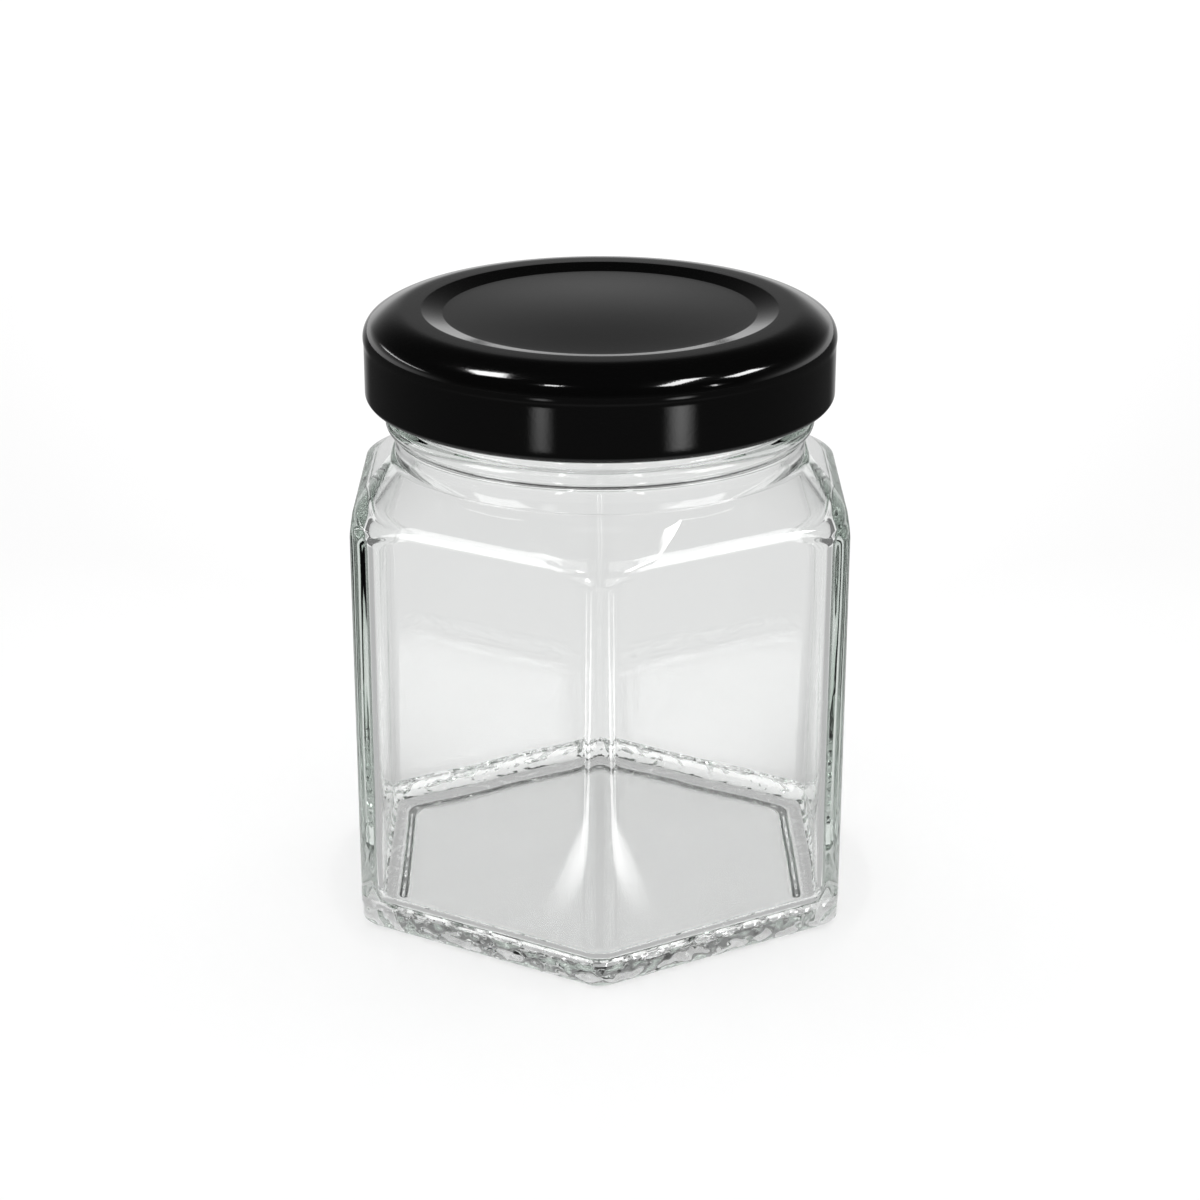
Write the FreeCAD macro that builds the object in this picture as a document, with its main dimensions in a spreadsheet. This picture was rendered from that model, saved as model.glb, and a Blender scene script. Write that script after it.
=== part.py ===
import FreeCAD, Part
import math
import os
import Sketcher

# Hexagonal glass food jar with a pressed twist-off lid, in millimetres.
# Origin: middle of the base, on the plane the jar stands on. +Z is up.
# One vertical corner of the hexagon points along -Y, and two flats face +X and -X.

DRIVING_SIZES = {
    # glass body
    "jar_height": 65.85,        # base to the sealing rim
    "finish_diameter": 44.8,    # outside of the neck wall that carries the threads
    "finish_wall": 2.3,         # neck wall between that and the mouth
    "shoulder_overhang": 3.8,   # how far a flat stands out beyond the top of the shoulder
    "shoulder_rise": 4.4,       # flat panel's top edge to the foot of the neck
    "shoulder_lead": 0.6,       # upright start of the shoulder
    "foot_ledge": 0.3,          # top of the shoulder beyond the neck wall
    "corner_radius": 2.8,       # vertical corners outside
    "inner_corner": 2.4,        # vertical corners inside
    "wall": 2.4,
    "floor_thickness": 2.3,
    "floor_fillet": 2.0,
    "heel_radius": 1.3,
    "bearing_width": 4.2,       # flat's plane to the edge of the push-up
    "push_up": 0.6,
    "push_up_slope": 1.6,
    # neck finish
    "neck_length": 2.75,        # foot of the neck to the bead
    "bead_radius": 1.0,
    "bead_gap": 1.55,           # top of the bead to the lid's lower edge
    "rim_round": 0.6,
    # pressed lid
    "lid_height": 9.55,
    "sheet": 0.25,
    "skirt_gap": 2.88,          # neck wall to the inside of the skirt
    "roll_proud": 0.08,         # shoulder roll beyond the skirt
    "roll_width": 4.35,         # skirt to the start of the flat ring
    "roll_height": 2.9,
    "roll_side_radius": 2.2,
    "roll_foot_radius": 4.0,
    "recess_inset": 0.8,        # mouth's edge to the edge of the recess
    "recess_slope": 2.4,
    "recess_depth": 0.5,
    "panel_bend": 0.4,
    "curl_radius": 0.65,
    "curl_sweep": 225.0,        # degrees the rim is rolled in
    "lug_gap": 0.5,             # lug tip to the neck wall
    "lug_thickness": 0.7,
    "lug_angle": 22.0,
    "lug_count": 4.0,
    # sealing compound
    "seal_thickness": 0.7,
    "seal_inset": 0.3,          # compound inside the mouth's edge
    "seal_spread": 0.4,         # compound beyond the neck wall
}

# Heights and radii that several pieces share, as expressions of the driving sizes.
RIM = "sizes.jar_height"
LID_TOP = f"({RIM} + sizes.seal_thickness + sizes.sheet)"
LID_FOOT = f"({LID_TOP} - sizes.lid_height)"
BEAD_TOP = f"({LID_FOOT} - sizes.bead_gap)"
BEAD_MIDDLE = f"({BEAD_TOP} - sizes.bead_radius)"
BEAD_FOOT = f"({BEAD_TOP} - 2 * sizes.bead_radius)"
NECK_FOOT = f"({BEAD_FOOT} - sizes.neck_length)"
PANEL_TOP = f"({NECK_FOOT} - sizes.shoulder_rise)"

NECK_RADIUS = "(sizes.finish_diameter / 2)"
BORE_RADIUS = f"({NECK_RADIUS} - sizes.finish_wall)"
LEDGE_RADIUS = f"({NECK_RADIUS} + sizes.foot_ledge)"
BODY_HALF = f"({LEDGE_RADIUS} + sizes.shoulder_overhang)"
CAVITY_HALF = f"({BODY_HALF} - sizes.wall)"
SKIRT_RADIUS = f"({NECK_RADIUS} + sizes.skirt_gap + sizes.sheet)"
ROLL_RADIUS = f"({SKIRT_RADIUS} + sizes.roll_proud)"
ROLL_START = f"({SKIRT_RADIUS} - sizes.roll_width)"
RECESS_RADIUS = f"({BORE_RADIUS} - sizes.recess_inset)"
PANEL_RADIUS = f"({RECESS_RADIUS} - sizes.recess_slope)"

# The roll's wide crown arc meets its tight side arc on one tangent.
ROLL_ACROSS = f"({ROLL_RADIUS} - sizes.roll_side_radius - {ROLL_START})"
CROWN_RADIUS = (f"(({ROLL_ACROSS} ^ 2 + sizes.roll_height ^ 2 - sizes.roll_side_radius ^ 2)"
                " / (2 * (sizes.roll_height - sizes.roll_side_radius)))")

# The shoulder goes from the hexagon to the round neck through these steps of a superellipse,
# which is a quarter ellipse at a power of 2 and a straight slope at 1.
SHOULDER_STEPS = (0, 22.5, 45, 67.5, 90)
SHOULDER_POWER = 1.15
ROUNDNESS = 0.94                # corner radius at the foot of the neck, as a share of the half width
LUG_START = 30                  # degrees from +X to the first lug
SAME_HEIGHT = 1e-4              # edges this near to a height lie at it

document = FreeCAD.newDocument("hexagonal_jar")


def make_sheet():
    """The spreadsheet of driving sizes, one alias to a row."""
    sheet = document.addObject("Spreadsheet::Sheet", "sizes")
    for row, (name, number) in enumerate(DRIVING_SIZES.items(), start=1):
        sheet.set(f"A{row}", name.replace("_", " "))
        sheet.set(f"B{row}", str(number))
        sheet.setAlias(f"B{row}", name)
    document.recompute()
    return sheet


def value(expression):
    """The number that an expression of the sheet's sizes gives now."""
    return float(sizes.evalExpression(expression.replace("sizes.", "")))


def origin_plane(body, role):
    """One of a body's own origin planes."""
    for feature in body.Origin.OriginFeatures:
        if feature.Role == role:
            return feature
    raise RuntimeError(f"{body.Label} has no {role}")


def new_body(name):
    body = document.addObject("PartDesign::Body", name)
    body.Label = name
    return body


def new_sketch(body, name, role, height=None):
    """A sketch on one of the body's origin planes, lifted by an expression."""
    sketch = body.newObject("Sketcher::SketchObject", name)
    sketch.AttachmentSupport = [(origin_plane(body, role), "")]
    sketch.MapMode = "FlatFace"
    if height:
        sketch.setExpression(".AttachmentOffset.Base.z", height)
    return sketch


def pin(sketch, geometry, point, across=None, up=None):
    """Hold a point of a sketch at expressions across and up from the origin."""
    where = sketch.getPoint(geometry, point)
    for kind, expression, now in (("DistanceX", across, where.x), ("DistanceY", up, where.y)):
        if expression is not None:
            index = sketch.addConstraint(Sketcher.Constraint(kind, -1, 1, geometry, point, now))
            sketch.setExpression(f"Constraints[{index}]", expression)


def set_radius(sketch, geometry, expression):
    index = sketch.addConstraint(Sketcher.Constraint("Radius", geometry, value(expression)))
    sketch.setExpression(f"Constraints[{index}]", expression)


def rounded_hexagon(sketch, half, corner):
    """A hexagon of six flats and six arcs, a corner at -Y, from its half width and corner radius."""
    slant = math.cos(math.radians(30))
    reach = (value(half) - value(corner)) / slant
    arcs = []
    for side in range(6):
        middle = -90 + 60 * side
        centre = FreeCAD.Vector(math.cos(math.radians(middle)), math.sin(math.radians(middle)), 0) * reach
        circle = Part.Circle(centre, FreeCAD.Vector(0, 0, 1), value(corner))
        start, end = math.radians(middle - 30), math.radians(middle + 30)
        arcs.append(sketch.addGeometry(Part.ArcOfCircle(circle, start, end)))
    flats = []
    for side in range(6):
        start = sketch.getPoint(arcs[side], 2)
        end = sketch.getPoint(arcs[(side + 1) % 6], 1)
        flats.append(sketch.addGeometry(Part.LineSegment(start, end)))
    for side in range(6):
        sketch.addConstraint(Sketcher.Constraint("Tangent", arcs[side], 2, flats[side], 1))
        sketch.addConstraint(Sketcher.Constraint("Tangent", flats[side], 2, arcs[(side + 1) % 6], 1))
        out = f"({half} - {corner}) / cos(30 deg)"
        middle = -90 + 60 * side
        across = None if side in (0, 3) else f"{out} * cos({middle} deg)"
        pin(sketch, arcs[side], 3, across, f"{out} * sin({middle} deg)")
        if side in (0, 3):
            sketch.addConstraint(Sketcher.Constraint("PointOnObject", arcs[side], 3, -2))
        if side:
            sketch.addConstraint(Sketcher.Constraint("Equal", arcs[0], arcs[side]))
    set_radius(sketch, arcs[0], corner)


def closed_profile(sketch, corners):
    """Straight lines through corners given as (across, up) expressions."""
    points = [FreeCAD.Vector(value(across), value(up), 0) for across, up in corners]
    sides = sketch.addGeometry([Part.LineSegment(*ends) for ends in zip(points, points[1:] + points[:1])])
    for side, following, corner in zip(sides, sides[1:] + sides[:1], corners):
        sketch.addConstraint(Sketcher.Constraint("Coincident", side, 2, following, 1))
        pin(sketch, side, 1, *corner)


def shoulder_sections(body, name, half, corner, top_half, foot, top):
    """Sketches that turn a hexagon into a near circle up a superellipse, after an upright start.

    The corners open faster than the flats lean in, so each ridge dies away low on the shoulder.
    """
    lead = new_sketch(body, f"{name}_lead", "XY_Plane", f"{foot} - sizes.shoulder_lead")
    rounded_hexagon(lead, half, corner)
    sections = [lead]
    for number, step in enumerate(SHOULDER_STEPS):
        risen = f"sin({step} deg) ^ (2 / {SHOULDER_POWER})"
        leant_in = f"(1 - cos({step} deg) ^ (2 / {SHOULDER_POWER}))"
        height = f"{foot} + ({top} - {foot}) * {risen}"
        sketch = new_sketch(body, f"{name}_{number}", "XY_Plane", height)
        step_half = f"({half} + ({top_half} - {half}) * {leant_in})"
        step_corner = f"({corner} + ({top_half} * {ROUNDNESS} - {corner}) * sqrt({leant_in}))"
        rounded_hexagon(sketch, step_half, step_corner)
        sections.append(sketch)
    return sections


def loft(body, kind, name, sections):
    feature = body.newObject(kind, name)
    feature.Profile = sections[0]
    feature.Sections = sections[1:]
    feature.Ruled = False
    document.recompute()


def level_edges(shape, height):
    """Names of the edges that lie wholly at a height."""
    names = []
    for index, edge in enumerate(shape.Edges, start=1):
        box = edge.BoundBox
        if max(abs(box.ZMin - height), abs(box.ZMax - height)) < SAME_HEIGHT:
            names.append(f"Edge{index}")
    return names


def revolve(body, kind, name, sketch):
    """Turn a sketch fully about its own upright axis."""
    feature = body.newObject(kind, name)
    feature.Profile = sketch
    feature.ReferenceAxis = (sketch, ["V_Axis"])
    feature.Angle = 360
    document.recompute()
    return feature


def round_edges(body, name, base, height, radius):
    """Fillet the edges of a feature that lie at a height, given as an expression."""
    feature = body.newObject("PartDesign::Fillet", name)
    feature.Base = (base, level_edges(base.Shape, value(height)))
    feature.setExpression("Radius", radius)
    document.recompute()


def add_body_outside(body):
    """Hexagonal pad with a rounded heel, the sloping shoulder and the turned neck with its bead."""
    base = new_sketch(body, "base_hexagon", "XY_Plane")
    rounded_hexagon(base, BODY_HALF, "sizes.corner_radius")
    panels = body.newObject("PartDesign::Pad", "panels")
    panels.Profile = base
    panels.setExpression("Length", f"{PANEL_TOP} - sizes.shoulder_lead")
    document.recompute()
    round_edges(body, "heel", panels, "0", "sizes.heel_radius")

    steps = shoulder_sections(body, "shoulder_step", BODY_HALF, "sizes.corner_radius",
                              LEDGE_RADIUS, PANEL_TOP, NECK_FOOT)
    loft(body, "PartDesign::AdditiveLoft", "shoulder", steps)

    neck = new_sketch(body, "neck_profile", "XZ_Plane")
    closed_profile(neck, [("0", PANEL_TOP), (NECK_RADIUS, PANEL_TOP), (NECK_RADIUS, RIM), ("0", RIM)])
    revolve(body, "PartDesign::Revolution", "neck", neck)

    bead = new_sketch(body, "bead_profile", "XZ_Plane")
    middle = FreeCAD.Vector(value(NECK_RADIUS), value(BEAD_MIDDLE), 0)
    ring = bead.addGeometry(Part.Circle(middle, FreeCAD.Vector(0, 0, 1), value("sizes.bead_radius")))
    pin(bead, ring, 3, NECK_RADIUS, BEAD_MIDDLE)
    set_radius(bead, ring, "sizes.bead_radius")
    revolve(body, "PartDesign::Revolution", "bead", bead)


def add_body_inside(body):
    """Hexagonal cavity with a rounded floor, the hollow shoulder, the bore and the push-up."""
    inner_foot = f"({PANEL_TOP} - sizes.wall / 3)"
    inner_top = f"({NECK_FOOT} - sizes.wall / 3)"
    hollow = new_sketch(body, "cavity_hexagon", "XY_Plane", "sizes.floor_thickness")
    rounded_hexagon(hollow, CAVITY_HALF, "sizes.inner_corner")
    cavity = body.newObject("PartDesign::Pocket", "cavity")
    cavity.Profile = hollow
    cavity.Reversed = True
    cavity.setExpression("Length", f"{inner_foot} - sizes.shoulder_lead - sizes.floor_thickness")
    document.recompute()
    round_edges(body, "floor_round", cavity, "sizes.floor_thickness", "sizes.floor_fillet")

    steps = shoulder_sections(body, "hollow_step", CAVITY_HALF, "sizes.inner_corner",
                              BORE_RADIUS, inner_foot, inner_top)
    loft(body, "PartDesign::SubtractiveLoft", "hollow_shoulder", steps)

    profile = new_sketch(body, "bore_profile", "XZ_Plane")
    closed_profile(profile, [("0", inner_top), (BORE_RADIUS, inner_top), (BORE_RADIUS, RIM), ("0", RIM)])
    bore = revolve(body, "PartDesign::Groove", "bore", profile)
    round_edges(body, "rim_round", bore, RIM, "sizes.rim_round")

    edge_half = f"({BODY_HALF} - sizes.bearing_width)"
    edge = new_sketch(body, "push_up_edge", "XY_Plane")
    rounded_hexagon(edge, edge_half, "sizes.corner_radius")
    crown = new_sketch(body, "push_up_crown", "XY_Plane", "sizes.push_up")
    rounded_hexagon(crown, f"({edge_half} - sizes.push_up_slope)", "sizes.corner_radius")
    loft(body, "PartDesign::SubtractiveLoft", "push_up", [edge, crown])


def make_jar():
    body = new_body("jar")
    add_body_outside(body)
    add_body_inside(body)
    return body


def set_tangent(sketch, first, first_point, second, second_point):
    sketch.addConstraint(Sketcher.Constraint("Tangent", first, first_point, second, second_point))


def arc(centre, radius, first, last):
    """A circular arc in a sketch, turning left from one angle to the other, in radians."""
    return Part.ArcOfCircle(Part.Circle(centre, FreeCAD.Vector(0, 0, 1), radius), first, last)


def line(first, last):
    return Part.LineSegment(FreeCAD.Vector(*first), FreeCAD.Vector(*last))


def lid_outline():
    """The outside of the pressed sheet from the axis to the tip of the rim curl, its top at z = 0.

    Its pieces in order: flat panel, bend, recess slope, bend, flat ring, crown and side of the
    shoulder roll, its foot, upright skirt, curl.
    """
    depth, bend = value("sizes.recess_depth"), value("sizes.panel_bend")
    panel, recess = value(PANEL_RADIUS), value(RECESS_RADIUS)
    low = FreeCAD.Vector(panel, bend - depth, 0)
    high = FreeCAD.Vector(recess, -bend, 0)
    span = high - low
    slope = math.atan2(span.y, span.x) + math.asin(2 * bend / span.Length)
    bend_end = FreeCAD.Vector(math.sin(slope), -math.cos(slope), 0) * bend

    start, skirt, drop = value(ROLL_START), value(SKIRT_RADIUS), value("sizes.roll_height")
    crown, side = value(CROWN_RADIUS), value("sizes.roll_side_radius")
    crown_centre = FreeCAD.Vector(start, -crown, 0)
    side_centre = FreeCAD.Vector(value(ROLL_RADIUS) - side, -drop, 0)
    to_side = side_centre - crown_centre
    crown_end = math.atan2(to_side.y, to_side.x)

    foot = value("sizes.roll_foot_radius")
    reach = skirt + foot - side_centre.x
    foot_centre = FreeCAD.Vector(skirt + foot, -drop - math.sqrt((side + foot) ** 2 - reach ** 2), 0)
    side_end = math.atan2(foot_centre.y - side_centre.y, reach)

    curl = value("sizes.curl_radius")
    curl_centre = FreeCAD.Vector(skirt - curl, curl - value("sizes.lid_height"), 0)
    quarter = math.pi / 2
    return [
        line((0, -depth), (panel, -depth)),
        arc(low, bend, -quarter, slope - quarter),
        Part.LineSegment(low + bend_end, high - bend_end),
        arc(high, bend, quarter, slope + quarter),
        line((recess, 0), (start, 0)),
        arc(crown_centre, crown, crown_end, quarter),
        arc(side_centre, side, side_end, crown_end),
        arc(foot_centre, foot, side_end + 2 * quarter, 2 * quarter),
        line((skirt, foot_centre.y), (skirt, curl_centre.y)),
        arc(curl_centre, curl, -math.radians(value("sizes.curl_sweep")), 0),
    ]


def draw_lid(sketch):
    """The outline's geometry, tied by tangency, radii and the places of its bends."""
    edges = sketch.addGeometry(lid_outline())
    panel, low_bend, slope, high_bend, ring, crown, side, foot, skirt, curl = edges
    sketch.addConstraint(Sketcher.Constraint("PointOnObject", panel, 1, -2))
    sketch.addConstraint(Sketcher.Constraint("Horizontal", panel))
    sketch.addConstraint(Sketcher.Constraint("Horizontal", ring))
    sketch.addConstraint(Sketcher.Constraint("Vertical", skirt))
    joins = [
        (panel, 2, low_bend, 1), (low_bend, 2, slope, 1), (slope, 2, high_bend, 2),
        (high_bend, 1, ring, 1), (ring, 2, crown, 2), (crown, 1, side, 2),
        (side, 1, foot, 1), (foot, 2, skirt, 1), (skirt, 2, curl, 2),
    ]
    for join in joins:
        set_tangent(sketch, *join)
    pin(sketch, low_bend, 3, PANEL_RADIUS, "sizes.panel_bend - sizes.recess_depth")
    pin(sketch, high_bend, 3, RECESS_RADIUS, "-sizes.panel_bend")
    pin(sketch, ring, 2, ROLL_START)
    pin(sketch, side, 3, f"{ROLL_RADIUS} - sizes.roll_side_radius", "-sizes.roll_height")
    pin(sketch, curl, 3, f"{SKIRT_RADIUS} - sizes.curl_radius", "sizes.curl_radius - sizes.lid_height")
    set_radius(sketch, low_bend, "sizes.panel_bend")
    set_radius(sketch, high_bend, "sizes.panel_bend")
    set_radius(sketch, side, "sizes.roll_side_radius")
    set_radius(sketch, foot, "sizes.roll_foot_radius")
    set_radius(sketch, curl, "sizes.curl_radius")
    pin(sketch, curl, 1, f"{SKIRT_RADIUS} - sizes.curl_radius * (1 - cos(sizes.curl_sweep * 1 deg))")


def upright_sketch(name, height):
    """A free sketch in the XZ plane, lifted by an expression."""
    sketch = document.addObject("Sketcher::SketchObject", name)
    standing = FreeCAD.Rotation(FreeCAD.Vector(1, 0, 0), 90)
    sketch.Placement = FreeCAD.Placement(FreeCAD.Vector(0, 0, 0), standing)
    sketch.setExpression("Placement.Base.z", height)
    return sketch


def turned(name, source, angle):
    """A Part revolution about the jar's axis, half the angle to each side of +X."""
    feature = document.addObject("Part::Revolution", name)
    feature.Source = source
    feature.Axis = (0, 0, 1)
    feature.Base = (0, 0, 0)
    feature.Symmetric = True
    feature.Solid = True
    feature.setExpression("Angle", angle)
    return feature


def make_lid():
    """Thin pressed sheet with a recessed panel, shoulder roll and curled rim, and lugs bent inwards."""
    outline = upright_sketch("lid_outline", LID_TOP)
    draw_lid(outline)
    document.recompute()
    sheet = document.addObject("Part::Offset2D", "lid_sheet")
    sheet.Source = outline
    sheet.Mode = "Skin"
    sheet.Fill = True
    sheet.setExpression("Value", "-sizes.sheet")
    document.recompute()
    pieces = [turned("lid_shell", sheet, "360")]

    tab = upright_sketch("lug_outline", LID_FOOT)
    curl_side = f"({SKIRT_RADIUS} - 2 * sizes.curl_radius)"
    tip = f"({NECK_RADIUS} + sizes.lug_gap)"
    root = f"({curl_side} + sizes.sheet)"
    closed_profile(tab, [
        (root, "sizes.curl_radius - sizes.lug_thickness / 2"),
        (root, "sizes.curl_radius + sizes.lug_thickness / 2"),
        (tip, "sizes.curl_radius + sizes.lug_thickness / 2"),
        (tip, "sizes.curl_radius - sizes.lug_thickness / 2"),
    ])
    count = round(value("sizes.lug_count"))
    for number in range(count):
        lug = turned(f"lug_{number}", tab, "sizes.lug_angle")
        turn = FreeCAD.Rotation(FreeCAD.Vector(0, 0, 1), LUG_START + 360 * number / count)
        lug.Placement = FreeCAD.Placement(FreeCAD.Vector(0, 0, 0), turn)
        pieces.append(lug)
    lid = document.addObject("Part::MultiFuse", "lid")
    lid.Label = "lid"
    lid.Shapes = pieces
    document.recompute()
    return lid


def make_seal():
    """The ring of sealing compound in the lid's channel, seated on the rim."""
    body = new_body("seal_ring")
    sketch = new_sketch(body, "seal_profile", "XZ_Plane")
    inner = f"({BORE_RADIUS} - sizes.seal_inset)"
    outer = f"({NECK_RADIUS} + sizes.seal_spread)"
    under = f"({LID_TOP} - sizes.sheet)"
    closed_profile(sketch, [
        (inner, RIM),
        (outer, RIM),
        (outer, f"({under} - sizes.seal_thickness / 2)"),
        (ROLL_START, under),
        (inner, under),
    ])
    revolve(body, "PartDesign::Revolution", "seal", sketch)
    return body


def check_document():
    """Stop on any object that failed to recompute."""
    for thing in document.Objects:
        if "Invalid" in thing.State or "Error" in thing.State:
            raise RuntimeError(f"{thing.Label} failed: {thing.State}")


def write_parts(subparts):
    os.makedirs("parts", exist_ok=True)
    for part in subparts:
        shape = part.Shape
        if shape.isNull() or not shape.isValid() or len(shape.Solids) != 1:
            raise RuntimeError(f"{part.Label} isn't one valid solid")
        shape.exportStep(f"parts/{part.Label}.step")
        box = shape.BoundBox
        print(part.Label, "volume", round(shape.Volume), "z", round(box.ZMin, 3), round(box.ZMax, 3),
              "reach", round(box.XMax, 3), round(box.YMax, 3))


sizes = make_sheet()
subparts = [make_jar(), make_lid(), make_seal()]
check_document()
write_parts(subparts)
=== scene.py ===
import math

import bpy
import numpy as np
from bpy.props import FloatProperty, FloatVectorProperty, IntProperty, PointerProperty
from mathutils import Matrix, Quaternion, Vector


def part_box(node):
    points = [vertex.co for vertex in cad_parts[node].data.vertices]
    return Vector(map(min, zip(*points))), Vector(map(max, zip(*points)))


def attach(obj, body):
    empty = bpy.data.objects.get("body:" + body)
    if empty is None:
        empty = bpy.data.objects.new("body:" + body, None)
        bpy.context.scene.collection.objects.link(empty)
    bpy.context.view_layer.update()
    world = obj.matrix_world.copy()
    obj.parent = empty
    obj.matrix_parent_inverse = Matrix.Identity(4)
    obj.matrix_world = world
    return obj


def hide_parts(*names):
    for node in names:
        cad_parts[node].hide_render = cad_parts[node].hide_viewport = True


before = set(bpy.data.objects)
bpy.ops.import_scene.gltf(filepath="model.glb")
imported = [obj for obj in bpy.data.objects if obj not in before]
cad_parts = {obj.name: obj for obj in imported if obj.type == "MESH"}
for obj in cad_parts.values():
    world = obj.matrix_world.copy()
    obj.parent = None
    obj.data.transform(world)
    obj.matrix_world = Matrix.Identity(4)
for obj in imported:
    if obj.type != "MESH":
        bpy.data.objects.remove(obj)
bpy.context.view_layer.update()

bl_info = {
    "name": "Hexagonal glass jar",
    "version": (1, 0, 0),
    "blender": (4, 5, 0),
    "location": "3D View > Sidebar > Glass jar",
    "description": "Builds a hexagonal glass jar and its black twist-off lid round the fixed frame",
    "category": "Add Mesh",
}

JAR_LOW, JAR_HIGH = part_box("jar")
LID_LOW, LID_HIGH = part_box("lid")
SEAL_LOW, SEAL_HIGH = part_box("seal_ring")

MM = 0.001
HALF_SIDE = math.radians(30)        # half of one side of a hexagon, seen from its axis
STEPS_PER_SIDE = 72                 # points along each side of the glass
CROWDING = 3                        # how sharply those points crowd towards the corners
CROWDED = 0.4                       # spacing at a corner, as a share of the mean
LID_STEPS = 320                     # points round the lid
ROUNDNESS = 0.94                    # corner radius at the neck's foot, as a share of the half width
LED_OPEN = 0.3                      # how far the corners have opened where the flats start to lean in
GOLDEN = 0.618034                   # spreads repeated waves so that they never line up
THREADS = 4                         # sloping threads round the neck
THREAD_START = -105                 # degrees from +X to the start of the first thread
THREAD_SWEEP = 84                   # degrees round the neck that each thread covers
THREAD_SLOPE = 13.5                 # degrees that each thread climbs at
LUG_START = 30                      # degrees from +X to the middle of the first lug
LUG_HALF = 11                       # half of a lug's length, in degrees round the lid
COMPOUND_STEPS = 192                # points round the sealing ring
TABLE_REACH = 4.0                   # half the side of the table, in metres
TABLE_GLOW = 0.48                   # light that the table adds to what is seen of it
CARD_INNER = 0.0315                 # inner radius of the glowing cards of painted reflection, in metres
CARD_OUTER = 3.5                    # outer radius of the glowing cards, in metres
CARD_HEIGHT = 0.001                 # how far the glowing cards lie above the table, in metres
CARD_GLOW_NEAR = 0.6                     # how bright the cards' painted glow is next to the jar, and to matt surfaces


# ---------------------------------------------------------------- sizes and colours

def length(name, description, default):
    """A length in metres that a user may change, its default given in millimetres."""
    return FloatProperty(name=name, description=description, default=default * MM, min=0, unit="LENGTH")


def colour(name, description, code):
    """A colour that a user may change, from its sRGB hex code."""
    return FloatVectorProperty(name=name, description=description, default=linear(code), size=4,
                               min=0, max=1, subtype="COLOR")


def linear(code):
    """A hex sRGB code as the linear red, green, blue and alpha that the shaders take."""
    parts = [int(code[i:i + 2], 16) / 255 for i in (1, 3, 5)]
    return tuple(c / 12.92 if c <= 0.04045 else ((c + 0.055) / 1.055) ** 2.4 for c in parts) + (1.0,)


class GlassSizes(bpy.types.PropertyGroup):
    wall: length("Wall", "Thickness of the flat panels", 2.4)
    floor: length("Floor", "Thickness of the glass under the food", 2.3)
    corner: length("Outside corner", "Radius of the six upright corners", 2.8)
    inner_corner: length("Inside corner", "Radius of the cavity's upright corners", 2.4)
    heel: length("Heel", "Radius between the panels and the base", 1.3)
    floor_round: length("Floor round", "Radius between the floor and the inner walls", 2.0)
    bearing: length("Bearing width", "Flat's plane to the edge of the push-up", 4.2)
    push_up: length("Push-up", "Depth of the hollow under the base", 0.6)
    push_up_slope: length("Push-up slope", "Width of the slope round that hollow", 1.6)
    knurled: length("Knurled height", "How far up the outside the knurls of the base show", 3.6)
    knurl: length("Knurl", "Height of those knurls", 0.06)
    knurl_pitch: length("Knurl pitch", "Spacing of those knurls", 3.0)
    shoulder_rise: length("Shoulder rise", "Top of the panels to the foot of the neck", 4.4)
    shoulder_edge: length("Shoulder edge", "Rounding between a panel and the shoulder", 1.5)
    shoulder_lead: length("Shoulder lead", "How far below the panel tops the corners start to open", 1.3)
    overhang: length("Overhang", "How far a flat stands out beyond the shoulder's top", 3.8)
    ledge: length("Ledge", "Top of the shoulder beyond the neck", 0.3)
    neck_length: length("Neck length", "Foot of the neck to the bead", 2.75)
    bead: length("Bead radius", "Radius of the bead round the neck", 1.0)
    bead_gap: length("Bead gap", "Top of the bead to the lid's lower edge", 1.55)
    finish_wall: length("Finish wall", "Thickness of the neck", 2.3)
    rim_round: length("Rim round", "Rounding of the sealing rim", 0.6)
    thread_height: length("Thread height", "How far the threads stand out", 1.05)
    thread_width: length("Thread width", "Height of a thread's foot on the neck", 2.1)
    wave: length("Wave", "Unevenness that the mould leaves in the walls", 0.035)

    def neck(self):
        return JAR_HIGH.x - self.overhang - self.ledge

    def bore(self):
        return self.neck() - self.finish_wall

    def bead_middle(self):
        return LID_LOW.z - self.bead_gap - self.bead

    def neck_foot(self):
        return self.bead_middle() - self.bead - self.neck_length

    def panel_top(self):
        return self.neck_foot() - self.shoulder_rise


class LidSizes(bpy.types.PropertyGroup):
    sheet: length("Sheet", "Thickness of the tinplate", 0.25)
    roll_proud: length("Roll proud", "Shoulder roll beyond the skirt", 0.08)
    roll_width: length("Roll width", "Skirt to the start of the flat ring", 4.35)
    roll_height: length("Roll height", "Top to the roll's widest point", 2.9)
    roll_side: length("Roll side", "Radius of the roll's side", 2.2)
    roll_foot: length("Roll foot", "Radius between the roll and the skirt", 4.0)
    recess_slope: length("Recess slope", "Width of the slope round the panel", 2.4)
    recess_inset: length("Recess inset", "Mouth's edge to the edge of the recess", 0.8)
    recess: length("Recess", "Depth of the panel", 0.5)
    dome: length("Dome", "How far the panel's middle bulges up", 0.16)
    bend: length("Bend", "Radius of the panel's bends", 0.4)
    curl: length("Curl", "Radius of the rolled rim", 0.65)
    lug_gap: length("Lug gap", "Lug tip to the neck", 0.5)
    lug_thickness: length("Lug thickness", "Height of a folded lug", 0.7)
    lug_count: IntProperty(name="Lugs", description="How many lugs hold the lid", default=4, min=1)

    def skirt(self):
        return LID_HIGH.x - self.roll_proud


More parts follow.
